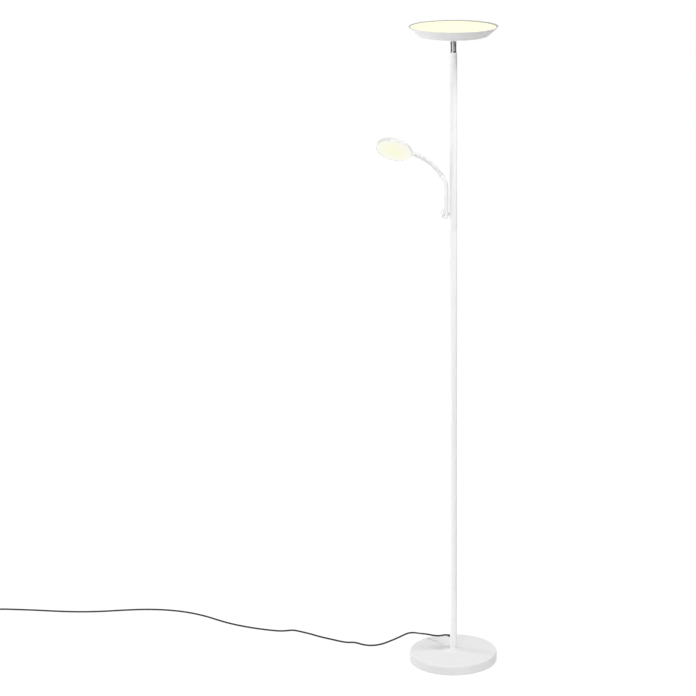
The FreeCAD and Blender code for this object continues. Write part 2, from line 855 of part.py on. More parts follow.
def make_head(joint):
    """Built with its face at Z 0 looking down and its back at the top, then placed."""
    axis = heading(gooseneck_end_angle)
    roll = math.radians(head_roll)
    back = V(axis.z, 0, -axis.x) * math.cos(roll) + V(0, 1, 0) * math.sin(roll)
    towards_arm = axis * -1
    centre = joint + axis * head_distance - back * head_axis_depth
    wall = head_wall_across()
    roof = head_depth - head_wall

    shell = turned([
        (0, head_depth),
        (head_back_diameter / 2, head_depth, head_back_round),
        (head_face_diameter / 2, 0),
        (head_face_diameter / 2 - wall, 0),
        (head_radius(roof) - wall, roof, head_back_round - head_wall),
        (0, roof),
    ])
    boss_face = head_distance - stem_length - body_gap
    boss_start = V(swivel_seat(), 0, head_axis_depth)
    boss_end = V(boss_face, 0, head_axis_depth)
    boss = rod(swivel_boss_diameter / 2, boss_start, boss_end)
    board_back = roof - reading_board_lift
    screw_places = ring_of_points(reading_screw_ring_diameter / 2, reading_screw_count, board_back)
    posts = [
        rod(reading_boss_diameter / 2, p, p + UP * (reading_board_lift + head_wall / 2))
        for p in screw_places
    ]
    housing = fused([shell, boss] + posts)
    swivel_hole = rod(swivel_diameter / 2 + turning_fit, boss_start - RIGHT, boss_end + RIGHT)
    screw_holes = [
        rod(screw_diameter / 2 + push_fit, p - UP, p + UP * reading_board_lift)
        for p in screw_places
    ]
    housing = housing.cut(Part.makeCompound([swivel_hole] + screw_holes))

    board_face = board_back - reading_board_thickness
    board = rod(reading_board_diameter / 2, V(0, 0, board_face), V(0, 0, board_back))
    through = UP * (2 * reading_board_thickness)
    board_holes = [rod(screw_diameter / 2 + push_fit, p - through, p + UP) for p in screw_places]
    board = board.cut(Part.makeCompound(board_holes))
    screws = []
    for place in screw_places:
        under = V(place.x, place.y, board_face)
        head = rod(screw_head_diameter / 2, under - UP * screw_head_height, under)
        tip = place + UP * reading_board_lift
        shank = rod(screw_diameter / 2, under - UP * (screw_head_height / 2), tip)
        screws.append(fused([head, shank]))
    chips = led_chips(reading_led_ring_diameter, reading_led_count, board_face - led_height)

    glass_back = reading_diffuser_inset + reading_diffuser_thickness
    glass = head_radius(glass_back) - wall - push_fit
    diffuser = rod(glass, V(0, 0, reading_diffuser_inset), V(0, 0, glass_back))

    pieces = {
        "reading_housing": [housing],
        "reading_led_board": [board],
        "reading_leds": chips,
        "reading_screws": screws,
        "reading_diffuser": [diffuser],
    }
    for node, solids in pieces.items():
        save(node, *[in_frame(s, centre, towards_arm, back) for s in solids])


def led_chips(ring_diameter, count, height):
    """Square chips standing on a board, in a ring."""
    chips = []
    for place in ring_of_points(ring_diameter / 2, count, height):
        corner = V(led_width / 2, led_width / 2, 0)
        chips.append(block(place - corner, place + corner + UP * led_height))
    return chips


# ---- tilting neck ---------------------------------------------------------------------
def make_neck():
    radius = neck_diameter / 2
    pin = V(0, 0, tilt_height)
    foot = V(0, 0, pole_top_height)
    slot = tongue_thickness / 2 + friction_washer_thickness + turning_fit * 2
    slot_floor = pole_top_height + fork_collar_height
    side = RIGHT * pole_diameter
    pin_bore = tilt_pin_diameter / 2 + turning_fit

    column = rod(radius, foot, pin + UP * radius)
    wide = V(pole_diameter, pole_diameter, 0)
    low = block(foot - wide, pin + wide)
    column = column.common(low.fuse(rod(radius, pin - side, pin + side)))
    slot_space = block(V(-slot, -pole_diameter, slot_floor), V(slot, pole_diameter, lamp_height))
    stud = rod(fork_stud_diameter / 2, foot - UP * fork_stud_length, foot + UP)
    head_start = pin - RIGHT * (radius - tilt_head_sink)
    nut_start = pin + RIGHT * (radius - tilt_head_sink)
    head_space = rod(tilt_head_diameter / 2 + push_fit, head_start, pin - side)
    nut_space = rod(tilt_head_diameter / 2 + push_fit, nut_start, pin + side)
    wire_way = rod(wire_bore_diameter / 2, foot - UP * fork_stud_length, V(0, 0, slot_floor))
    cuts = [slot_space, rod(pin_bore, pin - side, pin + side), head_space, nut_space, wire_way]
    fork = fused([column, stud])
    for space in cuts:
        fork = fork.cut(space)
    save("neck_fork", fork.removeSplitter())

    shoulder = tilt_height + radius + neck_shoulder_gap
    half = tongue_thickness / 2
    blade = block(V(-half, -radius, tilt_height), V(half, radius, shoulder) + UP)
    blade = blade.common(rod(radius, pin, V(0, 0, bowl_floor)))
    tail = rod(tongue_tail, pin - RIGHT * half, pin + RIGHT * half)
    tail = tail.common(rod(radius, pin - UP * tongue_tail, pin))
    cap = rod(radius, V(0, 0, shoulder), V(0, 0, bowl_floor))
    bowl_stud = rod(bowl_stud_diameter / 2, V(0, 0, bowl_floor) - UP, V(0, 0, bowl_floor + bowl_stud_length))
    tongue = fused([blade, tail, cap, bowl_stud]).cut(rod(pin_bore, pin - side, pin + side))
    save("neck_tongue", tongue)

    depth = tilt_head_sink - 2 * turning_fit
    head = rod(tilt_head_diameter / 2, head_start, head_start - RIGHT * depth)
    shank = rod(tilt_pin_diameter / 2, head_start - RIGHT * (depth / 2), nut_start + RIGHT * depth)
    save("tilt_pin", fused([head, shank]))
    nut = rod(tilt_head_diameter / 2, nut_start, nut_start + RIGHT * depth)
    save("tilt_nut", nut.cut(rod(tilt_pin_diameter / 2 + push_fit, nut_start, nut_start + side)))
    washers = []
    for way in (-1, 1):
        outer = pin + RIGHT * (way * slot)
        inner = outer - RIGHT * (way * friction_washer_thickness)
        washers.append(sleeve(friction_washer_diameter / 2, pin_bore, outer, inner))
    save("friction_washers", *washers)


# ---- uplight --------------------------------------------------------------------------
def bowl_radius(height):
    """Outside radius of the bowl's upper slope, by height above its bottom."""
    share = (height - bowl_belly_height) / (bowl_height - bowl_belly_height)
    return (bowl_belly_diameter + (bowl_diameter - bowl_belly_diameter) * share) / 2


def make_uplight():
    rim = bowl_diameter / 2
    stud_hole = bowl_stud_diameter / 2 + push_fit
    slope = (rim - bowl_belly_diameter / 2) / (bowl_height - bowl_belly_height)
    wall = bowl_wall * math.hypot(1, slope)
    bowl = turned([
        (stud_hole, 0),
        (bowl_bottom_diameter / 2, 0, bowl_bottom_round),
        (bowl_belly_diameter / 2, bowl_belly_height, bowl_belly_round),
        (rim, bowl_height),
        (rim - wall, bowl_height),
        (bowl_belly_diameter / 2 - wall, bowl_belly_height, bowl_belly_round - bowl_wall),
        (bowl_bottom_diameter / 2 - bowl_wall / 2, bowl_wall, bowl_bottom_round - bowl_wall),
        (stud_hole, bowl_wall),
    ])
    nut_end = bowl_wall + bowl_nut_thickness
    nut = hexagon(bowl_nut_across, V(0, 0, bowl_wall), V(0, 0, nut_end))
    nut = nut.cut(rod(stud_hole, V(0, 0, bowl_wall), V(0, 0, nut_end)))

    board_low = bowl_wall + standoff_height
    board_top = board_low + uplight_board_thickness
    places = ring_of_points(standoff_ring_diameter / 2, standoff_count, bowl_wall, math.pi / standoff_count)
    thread = screw_diameter / 2 + push_fit
    standoffs = [sleeve(standoff_diameter / 2, thread, p, p + UP * standoff_height) for p in places]
    board = rod(uplight_board_diameter / 2, V(0, 0, board_low), V(0, 0, board_top))
    board = board.cut(Part.makeCompound([rod(thread, p, p + UP * bowl_height) for p in places]))
    screws = []
    for place in places:
        seat = V(place.x, place.y, board_top)
        head = rod(screw_head_diameter / 2, seat, seat + UP * screw_head_height)
        tip = place + UP * (standoff_height / 2)
        shank = rod(screw_diameter / 2, tip, seat + UP * (screw_head_height / 2))
        screws.append(fused([head, shank]))
    driver = block(
        V(-driver_length / 2, driver_offset - driver_width / 2, bowl_wall),
        V(driver_length / 2, driver_offset + driver_width / 2, bowl_wall + driver_height),
    )
    chips = []
    for inset in led_ring_insets:
        diameter = uplight_board_diameter - 2 * inset
        chips += led_chips(diameter, round(math.pi * diameter / led_spacing), board_top)

    glass_top = bowl_height - diffuser_inset
    glass_low = glass_top - diffuser_thickness
    glass_low_radius = bowl_radius(glass_low) - wall - push_fit
    glass_radius = bowl_radius(glass_top) - wall - push_fit
    diffuser = Part.makeCone(glass_low_radius, glass_radius, diffuser_thickness, V(0, 0, glass_low))
    ring_top = glass_top + ring_thickness
    ring = turned([
        (glass_radius - ring_width, glass_top),
        (glass_radius, glass_top),
        (glass_radius + slope * ring_thickness, ring_top),
        (glass_radius - ring_width, ring_top),
    ])

    pieces = {
        "uplight_bowl": [bowl],
        "neck_nut": [nut],
        "uplight_driver": [driver],
        "uplight_standoffs": standoffs,
        "uplight_led_board": [board],
        "uplight_leds": chips,
        "uplight_screws": screws,
        "uplight_diffuser": [diffuser],
        "uplight_ring": [ring],
    }
    for node, solids in pieces.items():
        for solid in solids:
            solid.translate(V(0, 0, bowl_floor))
        save(node, *solids)


# ---- the lamp -------------------------------------------------------------------------
def make_lamp():
    os.makedirs("parts", exist_ok=True)
    make_base()
    make_pole()
    make_strain_relief()
    make_pole_cable()
    stretch = make_cord()
    coil, coil_end = make_coil()
    plug_start = make_tail(coil_end)
    print(f"cord in all {stretch + coil + tail_length:.0f}")
    make_plug(plug_start)
    make_arm_foot()
    make_arm_tube()
    make_ferrule()
    last = make_gooseneck()
    make_stem(last)
    make_head(last)
    make_neck()
    make_uplight()


make_lamp()
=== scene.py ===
import json
import math
import bmesh
import bpy
from mathutils import Matrix, Vector

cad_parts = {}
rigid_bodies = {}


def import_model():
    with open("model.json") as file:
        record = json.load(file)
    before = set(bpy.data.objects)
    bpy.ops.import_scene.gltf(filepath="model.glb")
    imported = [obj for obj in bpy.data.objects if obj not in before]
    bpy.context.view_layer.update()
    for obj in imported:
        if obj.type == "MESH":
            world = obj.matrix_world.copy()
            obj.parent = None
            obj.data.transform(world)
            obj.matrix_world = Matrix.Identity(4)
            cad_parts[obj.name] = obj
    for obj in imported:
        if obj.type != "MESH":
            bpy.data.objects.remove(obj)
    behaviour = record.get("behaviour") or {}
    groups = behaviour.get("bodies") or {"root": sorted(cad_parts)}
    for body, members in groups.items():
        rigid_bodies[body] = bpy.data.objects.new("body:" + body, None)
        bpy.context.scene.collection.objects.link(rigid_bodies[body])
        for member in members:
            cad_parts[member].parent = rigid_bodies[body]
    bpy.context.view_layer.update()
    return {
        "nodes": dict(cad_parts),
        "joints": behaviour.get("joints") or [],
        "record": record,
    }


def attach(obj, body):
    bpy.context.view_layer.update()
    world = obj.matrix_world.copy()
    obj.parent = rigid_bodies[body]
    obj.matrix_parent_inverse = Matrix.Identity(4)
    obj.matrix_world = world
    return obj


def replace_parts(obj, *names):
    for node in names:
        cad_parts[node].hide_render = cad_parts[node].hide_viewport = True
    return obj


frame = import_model()

MM = 0.001
UP = Vector((0, 0, 1))

# ---- camera, as it stood for the photograph --------------------------------------------
CAMERA_BACK = 6.6591       # from the pole, along the floor
CAMERA_HEIGHT = 2.7563
CAMERA_PITCH = 0.2697      # radians below level
FOCAL_PIXELS = 2520.3
IMAGE_PIXELS = 696
POLE_PIXEL = 453.4         # column of the pole's axis in the photograph
SENSOR = 36.0

# ---- materials -------------------------------------------------------------------------
NOISE_SPAN = (0.3, 0.7)    # nearly all values of a noise lie between these
HEAD_GLOW_SPAN = (14, 47)  # from the head's centre, where its glow turns paler, in millimetres

# ---- studio, in metres -----------------------------------------------------------------
FLOOR_HALF_WIDTH = 30
FLOOR_GLOW_SHARE = 0.86    # of its own white in what the eye sees of the floor
FLOOR_GLOW = 1.085
WORLD_LIGHT = 0.27         # on matt surfaces, where 1 is the white that the eye sees
CEILING_LIGHT = 0.8
CEILING_SPREAD = 70        # degrees
CARD_DISTANCE = 3.0        # of the cards that the chrome reflects
CARD_HEIGHT = 2.6
CARD_STEPS = 24
MAT_LIFT = 0.001           # of the dark mat above the floor

# ---- mains lead ------------------------------------------------------------------------
CORD_DIAMETER = 5.0 * MM
FLOOR_LEVEL = 2.5          # the lead's axis when it lies on the floor, in millimetres
RELIEF_HEIGHT = 68.0       # where its line meets the pole's axis
RELIEF_TIP = (-15.651, 27.108, 61.347)
RELIEF_LINE = (-0.489074, 0.847101, -0.207912)
COIL_CENTRE = (-1410.0, 344.0)
COIL_RADIUS = 32.0
COIL_SIDE_STEP = 5.6       # per turn
COIL_LAYER_STEP = 5.5
COIL_TURN = 720            # degrees in all
COIL_CLIMB = (270, 450)    # degrees between which it climbs and reverses
COIL_POINT_STEP = 30
TAIL_END = -1441.0
PLUG_HEIGHT = 8.0          # of its axis; half its thickness
PLUG_LENGTH = 38.0
PLUG_HALF_WIDTH = 17.5
PIN_OFFSET = 9.5           # of each pin from the plug's axis
GROOVE_FLANK = 0.3         # along the axis, on either side of a groove's floor

# ---- pieces, in millimetres ------------------------------------------------------------
POLE_RADIUS = 10.0
POLE_BORE = 8.8
LOWER_SEAM = 641.85
UPPER_SEAM = 1248.0
POLE_TOP = 1730.0
SEAM_ROUND = 0.45          # on the tube ends that meet
NECK_RADIUS = 8.0          # also from the tilt pin's middle to its ends
TILT_PIN_HEIGHT = 1752.0
BOWL_FLOOR = 1774.0
BASE_SHEET = 1.2
BOWL_WALL = 1.0
FINE_ROUND = 0.4           # on the edges of sheet and mouldings
ARM_OFFSET = 19.8          # of the arm's axis from the pole's
ARM_RADIUS = 6.2
ARM_FOOT_HEIGHT = 1278.0
KNOB_BACK = (-26.4, 0, 1291)
KNOB_RADIUS = 12.0
KNOB_FLUTES = 36
KNOB_FLUTE_DEPTH = 0.12
KNOB_FLUTE_RUN = 2.0       # over which the flutes deepen towards the rim
HEAD_RADIUS = 49.0
HEAD_DEPTH = 13.0
HEAD_WALL = 1.2
HEAD_DISTANCE = 54.4       # from the last joint of the gooseneck to the head's centre
HEAD_AXIS_DEPTH = 6.8      # of the stem's axis behind the head's face
HEAD_ROLL = 42.0           # degrees from straight down towards the viewer
CORNER_STEPS = 6           # of a rounded corner
SHARP_ANGLE = 35           # degrees between faces, from which an edge is drawn sharp
EASED_ANGLE = 0.6          # radians between faces, from which the edge of a cut is eased

# ---- gooseneck -------------------------------------------------------------------------
ARM_HEADING = 30.0         # degrees from upright, at the end of the bent tube
GOOSENECK_HEADING = 74.0
JOINT_COUNT = 9
LINK_PITCH = 12.0
LINK_BORE = 3.4
LINK_SET_BACK = 0.65       # of a link's ends from its joints, so that two links clear each other
BALL_RADIUS = 5.3
SOCKET_RADIUS = 5.45
RIB_PITCH = 3.0
RIB_CREST = 6.2
RIB_ROOT = 5.2
RIB_FULLNESS = 0.7         # 1 gives sine ribs, less gives fuller ones
STEPS_PER_RIB = 10
FERRULE_LENGTH = 8.0
FACE_GAP = 0.8             # from the first and last joints to the ferrule and the stem


# ---- node materials --------------------------------------------------------------------
def linear(colour):
    """Linear values of an sRGB hex colour."""
    values = [int(colour[i:i + 2], 16) / 255 for i in (1, 3, 5)]
    return [v / 12.92 if v <= 0.04045 else ((v + 0.055) / 1.055) ** 2.4 for v in values] + [1.0]


def add_node(tree, kind, inputs=(), **settings):
    """Add a node to a tree. A socket's input is a value or another node's output."""
    made = tree.nodes.new(kind)
    for name, value in settings.items():
        setattr(made, name, value)
    for socket, value in dict(inputs).items():
        if isinstance(value, bpy.types.NodeSocket):
            tree.links.new(value, made.inputs[socket])
        else:
            made.inputs[socket].default_value = value
    return made


def start_material(name, **sockets):
    """A material with its node tree, its Principled shader and Object coordinates."""
    material = bpy.data.materials.new(name)
    material.use_nodes = True
    tree = material.node_tree
    shader = tree.nodes["Principled BSDF"]
    for socket, value in sockets.items():
        shader.inputs[socket.replace("_", " ")].default_value = value
    coords = add_node(tree, "ShaderNodeTexCoord").outputs["Object"]
    return material, tree, shader, coords


def grain(tree, coords, size_mm, detail=2.0):
    """Noise whose cells are about this many millimetres across."""
    return add_node(tree, "ShaderNodeTexNoise", {
        "Vector": coords, "Scale": 1 / (size_mm * MM), "Detail": detail,
    })


def vary(tree, shader, socket, noise, low, high):
    """Run a shader's value between two ends with a noise."""
    ramp = add_node(tree, "ShaderNodeMapRange", {
        "Value": noise.outputs["Fac"],
        "From Min": NOISE_SPAN[0], "From Max": NOISE_SPAN[1], "To Min": low, "To Max": high,
    })
    tree.links.new(ramp.outputs["Result"], shader.inputs[socket])


def mix_colours(tree, shader, socket, share, first, second):
    """Run a shader's colour between two hex colours with another node's value."""
    mix = add_node(tree, "ShaderNodeMix", {0: share, 6: linear(first), 7: linear(second)}, data_type="RGBA")
    tree.links.new(mix.outputs[2], shader.inputs[socket])


def tint(tree, shader, noise, first, second):
    """Run the base colour between two hex colours with a noise."""
    mix_colours(tree, shader, "Base Color", noise.outputs["Fac"], first, second)


def emboss(tree, shader, noise, height_mm, strength=1.0):
    """Bump of a real height from a noise."""
    bump = add_node(tree, "ShaderNodeBump", {
        "Height": noise.outputs["Fac"], "Distance": height_mm * MM, "Strength": strength,
    })
    tree.links.new(bump.outputs["Normal"], shader.inputs["Normal"])


def powder_coated_steel():
    """White powder coat, baked on spun sheet: satin, with a faint orange peel."""
    material, tree, shader, coords = start_material("powder_coated_steel_white", IOR=1.5)
    tint(tree, shader, grain(tree, coords, 60, 3), "#DADADA", "#DEDEDE")
    vary(tree, shader, "Roughness", grain(tree, coords, 120, 0), 0.33, 0.36)
    emboss(tree, shader, grain(tree, coords, 1.6, 1), 0.003)
    return material


def lacquered_steel_tube():
    """White lacquer on drawn tube: a brighter white than the sheet's, and smoother."""
    material, tree, shader, coords = start_material("lacquered_steel_tube_white", IOR=1.5)
    tint(tree, shader, grain(tree, coords, 50, 2), "#F4F4F4", "#F6F6F6")
    vary(tree, shader, "Roughness", grain(tree, coords, 120, 0), 0.28, 0.3)
    return material


def lacquered_gooseneck():
    """Satin white lacquer on the wound gooseneck, greyer than the tube it grows from."""
    material, tree, shader, coords = start_material("lacquered_gooseneck_white", IOR=1.5)
    tint(tree, shader, grain(tree, coords, 30), "#E4E4E4", "#EAEAEA")
    vary(tree, shader, "Roughness", grain(tree, coords, 6), 0.38, 0.44)
    emboss(tree, shader, grain(tree, coords, 1.2, 1), 0.003)
    return material


def trim_ring_painted_shade():
    """Grey ABS ring that clips the opal disc in: its grey is painted shade of the gap round the disc; matt,
    so it draws a quiet line.
    """
    material, tree, shader, coords = start_material("trim_ring_grey_painted_shade", IOR=1.53)
    tint(tree, shader, grain(tree, coords, 20), "#8E8E8E", "#989898")
    vary(tree, shader, "Roughness", grain(tree, coords, 5), 0.5, 0.6)
    emboss(tree, shader, grain(tree, coords, 1.2, 2), 0.004)
    return material


def moulded_white_abs(name, first, second):
    """White ABS from a spark-eroded mould: a little softer in its gloss than the steel. The caller's two
    tones carry painted light or painted shade.
    """
    material, tree, shader, coords = start_material(name, IOR=1.53)
    tint(tree, shader, grain(tree, coords, 40), first, second)
    vary(tree, shader, "Roughness", grain(tree, coords, 5), 0.38, 0.42)
    emboss(tree, shader, grain(tree, coords, 1.2, 2), 0.002)
    return material


def chrome_plate():
    """Polished chrome on the turned neck: mirror bright, with the faintest polishing haze."""
    material, tree, shader, coords = start_material("chrome_plate", Metallic=1.0)
    tint(tree, shader, grain(tree, coords, 20), "#C9CBCD", "#D3D5D6")
    vary(tree, shader, "Roughness", grain(tree, coords, 4), 0.05, 0.1)
    return material


def zinc_plated_steel():
    """Bright zinc on nuts, screws and turned plugs: grey, slightly cloudy."""
    material, tree, shader, coords = start_material("zinc_plated_steel", Metallic=1.0)
    tint(tree, shader, grain(tree, coords, 2), "#A7A8A4", "#C2C2BC")
    vary(tree, shader, "Roughness", grain(tree, coords, 3), 0.28, 0.42)
    return material


def grey_cast_iron():
    """Sand-cast iron weight with its raw skin."""
    material, tree, shader, coords = start_material("grey_cast_iron", Metallic=0.6)
    tint(tree, shader, grain(tree, coords, 8, 4), "#3A3A3C", "#4A4A4A")
    vary(tree, shader, "Roughness", grain(tree, coords, 6), 0.6, 0.8)
    emboss(tree, shader, grain(tree, coords, 1.5, 4), 0.25)
    return material


def foam_rubber():
    """Closed-cell black foam under the base."""
    material, tree, shader, coords = start_material("foam_rubber_black", IOR=1.45)
    tint(tree, shader, grain(tree, coords, 3), "#141414", "#1E1E1E")
    vary(tree, shader, "Roughness", grain(tree, coords, 2), 0.8, 0.92)
    emboss(tree, shader, grain(tree, coords, 0.8, 3), 0.1)
    return material


def black_pvc():
    """Extruded PVC sheath of the lead and its strain relief: black with a dull shine."""
    material, tree, shader, coords = start_material("extruded_pvc_black", IOR=1.53)
    tint(tree, shader, grain(tree, coords, 12), "#0D0D0E", "#161617")
    vary(tree, shader, "Roughness", grain(tree, coords, 4), 0.4, 0.52)
    emboss(tree, shader, grain(tree, coords, 0.9), 0.02)
    return material


def black_moulding():
    """Moulded plug and potentiometer bodies: black, fine matt grain."""
    material, tree, shader, coords = start_material("moulded_pvc_black", IOR=1.53)
    tint(tree, shader, grain(tree, coords, 10), "#101011", "#191919")
    vary(tree, shader, "Roughness", grain(tree, coords, 3), 0.48, 0.6)
    emboss(tree, shader, grain(tree, coords, 0.4, 3), 0.02)
    return material


def nickel_plated_brass():
    """Nickel on the plug's pins."""
    material, tree, shader, coords = start_material("nickel_plated_brass", Metallic=1.0)
    tint(tree, shader, grain(tree, coords, 6), "#BDB7A8", "#CBC6B9")
    vary(tree, shader, "Roughness", grain(tree, coords, 2), 0.18, 0.26)
    return material


def solder_mask_white():
    """White solder mask on the aluminium LED boards."""
    material, tree, shader, coords = start_material("solder_mask_white", IOR=1.55)
    tint(tree, shader, grain(tree, coords, 15), "#E4E4DF", "#ECECE8")
    vary(tree, shader, "Roughness", grain(tree, coords, 4), 0.3, 0.4)
    return material


def led_phosphor():
    """Yellow phosphor gel of the LEDs, lit."""
    material, tree, shader, coords = start_material("led_phosphor_lit", Emission_Strength=1.0)
    tint(tree, shader, grain(tree, coords, 1), "#E8C860", "#F2D878")
    shader.inputs["Emission Color"].default_value = linear("#FFF4C8")
    vary(tree, shader, "Roughness", grain(tree, coords, 1), 0.3, 0.4)
    return material


def lit_opal(name, strength):
    """Opal acrylic with a satin face, lit from behind. The caller sets the colour of its glow."""
    material, tree, shader, coords = start_material(
        name, IOR=1.49, Emission_Strength=strength, Specular_IOR_Level=0.12,
    )
    shader.inputs["Base Color"].default_value = linear("#30302A")
    vary(tree, shader, "Roughness", grain(tree, coords, 8), 0.46, 0.54)
    return material, tree, shader, coords


def opal_acrylic_lit():
    """Opal of the uplight, with a pale warm glow."""
    material, tree, shader, coords = lit_opal("opal_acrylic_lit", 0.95)
    cloud = grain(tree, coords, 70, 1)
    mix_colours(tree, shader, "Emission Color", cloud.outputs["Fac"], "#FDFDDF", "#FCFDD9")
    return material


def opal_acrylic_head(centre):
    """Opal of the reading head, whose glow is paler towards the rim."""
    material, tree, shader, coords = lit_opal("opal_acrylic_lit_head", 0.92)
    away = add_node(tree, "ShaderNodeVectorMath", {0: coords, 1: centre * MM}, operation="DISTANCE")
    share = add_node(tree, "ShaderNodeMapRange", {
        "Value": away.outputs["Value"],
        "From Min": HEAD_GLOW_SPAN[0] * MM, "From Max": HEAD_GLOW_SPAN[1] * MM,
    })
    mix_colours(tree, shader, "Emission Color", share.outputs["Result"], "#FDFDE0", "#FDFDF2")
    return material


def driver_case():
    """White polycarbonate of the LED driver's case, also in the knob's mark."""
    material, tree, shader, coords = start_material("moulded_pc_case", IOR=1.58)
    tint(tree, shader, grain(tree, coords, 20), "#DADAD7", "#E2E2DF")
    vary(tree, shader, "Roughness", grain(tree, coords, 3), 0.45, 0.55)
    emboss(tree, shader, grain(tree, coords, 0.6, 3), 0.02)
    return material


FINISH = {
    "white_steel": powder_coated_steel(),
    # The white ABS is brightened: partly its own white, partly painted light that lifts the arm's foot out
    # of the shade of the knob, tube and pole.
    "white_plastic": moulded_white_abs("abs_white_painted_light", "#F3F3F1", "#F6F6F4"),
    # the trim ring's grey is painted shade of the gap round the opal disc
    "grey_plastic": trim_ring_painted_shade(),
    "cast_weight": grey_cast_iron(),
    "pad": foam_rubber(),
    "zinc_steel": zinc_plated_steel(),
    "chrome": chrome_plate(),
    "black_cord": black_pvc(),
    "black_plastic": black_moulding(),
    "pin_metal": nickel_plated_brass(),
    "board": solder_mask_white(),
    "led": led_phosphor(),
    "opal": opal_acrylic_lit(),
    "driver": driver_case(),
}
TUBE_FINISH = lacquered_steel_tube()
GOOSENECK_FINISH = lacquered_gooseneck()
# Darker copy of the white ABS for the head's shell: painted shade, toning down the light that its back
# takes from the left and ceiling lamps.
SHELL_FINISH_PAINTED_SHADE = moulded_white_abs("abs_white_shell_painted_shade", "#EAEAE8", "#EEEEEC")


def dress_nodes():
    """Give every CAD node the finish of its slot, and the tubes their own white."""
    for part in frame["record"]["subparts"]:
        node = frame["nodes"][part["node"]]
        node.data.materials.clear()
        finish = TUBE_FINISH if part["node"].endswith("_tube") else FINISH[part["material_slot"]]
        node.data.materials.append(finish)


# ---- camera, floor and light -----------------------------------------------------------
def add_object(name, mesh, material):
    """Link an object of a bmesh with one material."""
    data = bpy.data.meshes.new(name)
    mesh.to_mesh(data)
    mesh.free()
    data.materials.append(material)
    made = bpy.data.objects.new(name, data)
    bpy.context.collection.objects.link(made)
    return made


def seen_value(tree):
    """1 for the camera, reflections and what shines through, 0 for light on matt surfaces."""
    path = add_node(tree, "ShaderNodeLightPath").outputs
    seen = add_node(tree, "ShaderNodeMath", {
        0: path["Is Camera Ray"], 1: path["Is Glossy Ray"],
    }, operation="MAXIMUM")
    seen = add_node(tree, "ShaderNodeMath", {
        0: seen.outputs[0], 1: path["Is Transmission Ray"],
    }, operation="MAXIMUM")
    return seen.outputs[0]


def set_camera():
    """Camera at the place and with the lens that the photograph was fitted with."""
    data = bpy.data.cameras.new("photo_camera")
    data.sensor_width = SENSOR
    data.lens = FOCAL_PIXELS * SENSOR / IMAGE_PIXELS
    data.shift_x = (IMAGE_PIXELS / 2 - POLE_PIXEL) / IMAGE_PIXELS
    data.clip_end = 50
    camera = bpy.data.objects.new("photo_camera", data)
    camera.location = (0, -CAMERA_BACK, CAMERA_HEIGHT)
    camera.rotation_euler = (math.pi / 2 - CAMERA_PITCH, 0, 0)
    bpy.context.collection.objects.link(camera)
    bpy.context.scene.camera = camera


def set_floor():
    """White floor: mostly its own white to the eye, the rest takes the lamp's shadow."""
    mesh = bmesh.new()
    bmesh.ops.create_grid(mesh, x_segments=1, y_segments=1, size=FLOOR_HALF_WIDTH)
    material = bpy.data.materials.new("white_floor")
    material.use_nodes = True
    tree = material.node_tree
    tree.nodes.remove(tree.nodes["Principled BSDF"])
    share = add_node(tree, "ShaderNodeMath", {
        0: seen_value(tree), 1: FLOOR_GLOW_SHARE,
    }, operation="MULTIPLY")
    glow = add_node(tree, "ShaderNodeEmission", {"Color": (1, 1, 1, 1), "Strength": FLOOR_GLOW})
    paint = add_node(tree, "ShaderNodeBsdfDiffuse", {"Color": linear("#F4F4F4")})
    mix = add_node(tree, "ShaderNodeMixShader", {
        0: share.outputs[0], 1: paint.outputs[0], 2: glow.outputs[0],
    })
    tree.links.new(mix.outputs[0], tree.nodes["Material Output"].inputs["Surface"])
    material.cycles.emission_sampling = "NONE"
    floor = add_object("floor", mesh, material)


def set_world():
    """White to the eye and in reflections, and a softer even light on everything else."""
    world = bpy.data.worlds.new("studio")
    bpy.context.scene.world = world
    world.use_nodes = True
    tree = world.node_tree
    strength = add_node(tree, "ShaderNodeMapRange", {
        "Value": seen_value(tree), "To Min": WORLD_LIGHT, "To Max": 1.0,
    })
    tree.links.new(strength.outputs["Result"], tree.nodes["Background"].inputs["Strength"])
    tree.nodes["Background"].inputs["Color"].default_value = (1, 1, 1, 1)


def add_lamp(name, spot, aim, size, watts):
    """Square area lamp at a spot, turned towards a point. Reflections don't show it."""
    data = bpy.data.lights.new(name, "AREA")
    data.size = size
    data.energy = watts
    lamp = bpy.data.objects.new(name, data)
    lamp.location = spot
    lamp.rotation_euler = (Vector(aim) - Vector(spot)).to_track_quat("-Z", "Y").to_euler()
    lamp.visible_glossy = False
    bpy.context.collection.objects.link(lamp)


def add_card(name, first, last, colour):
    """Upright curved card round the lamp that only its reflections show.

    It stands between two bearings, in degrees from the camera towards the right.
    """
    mesh = bmesh.new()
    bearing = math.radians(first - 90)
    foot = Vector((math.cos(bearing), math.sin(bearing), 0)) * CARD_DISTANCE
    ends = [mesh.verts.new(foot), mesh.verts.new(foot + UP * CARD_HEIGHT)]
    edge = mesh.edges.new(ends)
    bmesh.ops.spin(
        mesh, geom=ends + [edge], axis=UP, cent=(0, 0, 0),
        steps=CARD_STEPS, angle=math.radians(last - first), use_merge=False,
    )
    material = bpy.data.materials.new(name)
    material.use_nodes = True
    tree = material.node_tree
    tree.nodes.remove(tree.nodes["Principled BSDF"])
    glow = add_node(tree, "ShaderNodeEmission", {"Color": linear(colour), "Strength": 1.0})
    tree.links.new(glow.outputs[0], tree.nodes["Material Output"].inputs["Surface"])
    material.cycles.emission_sampling = "NONE"
    card = add_object(name, mesh, material)
    card.visible_camera = False
    card.visible_diffuse = False
    card.visible_shadow = False
    card.visible_transmission = False


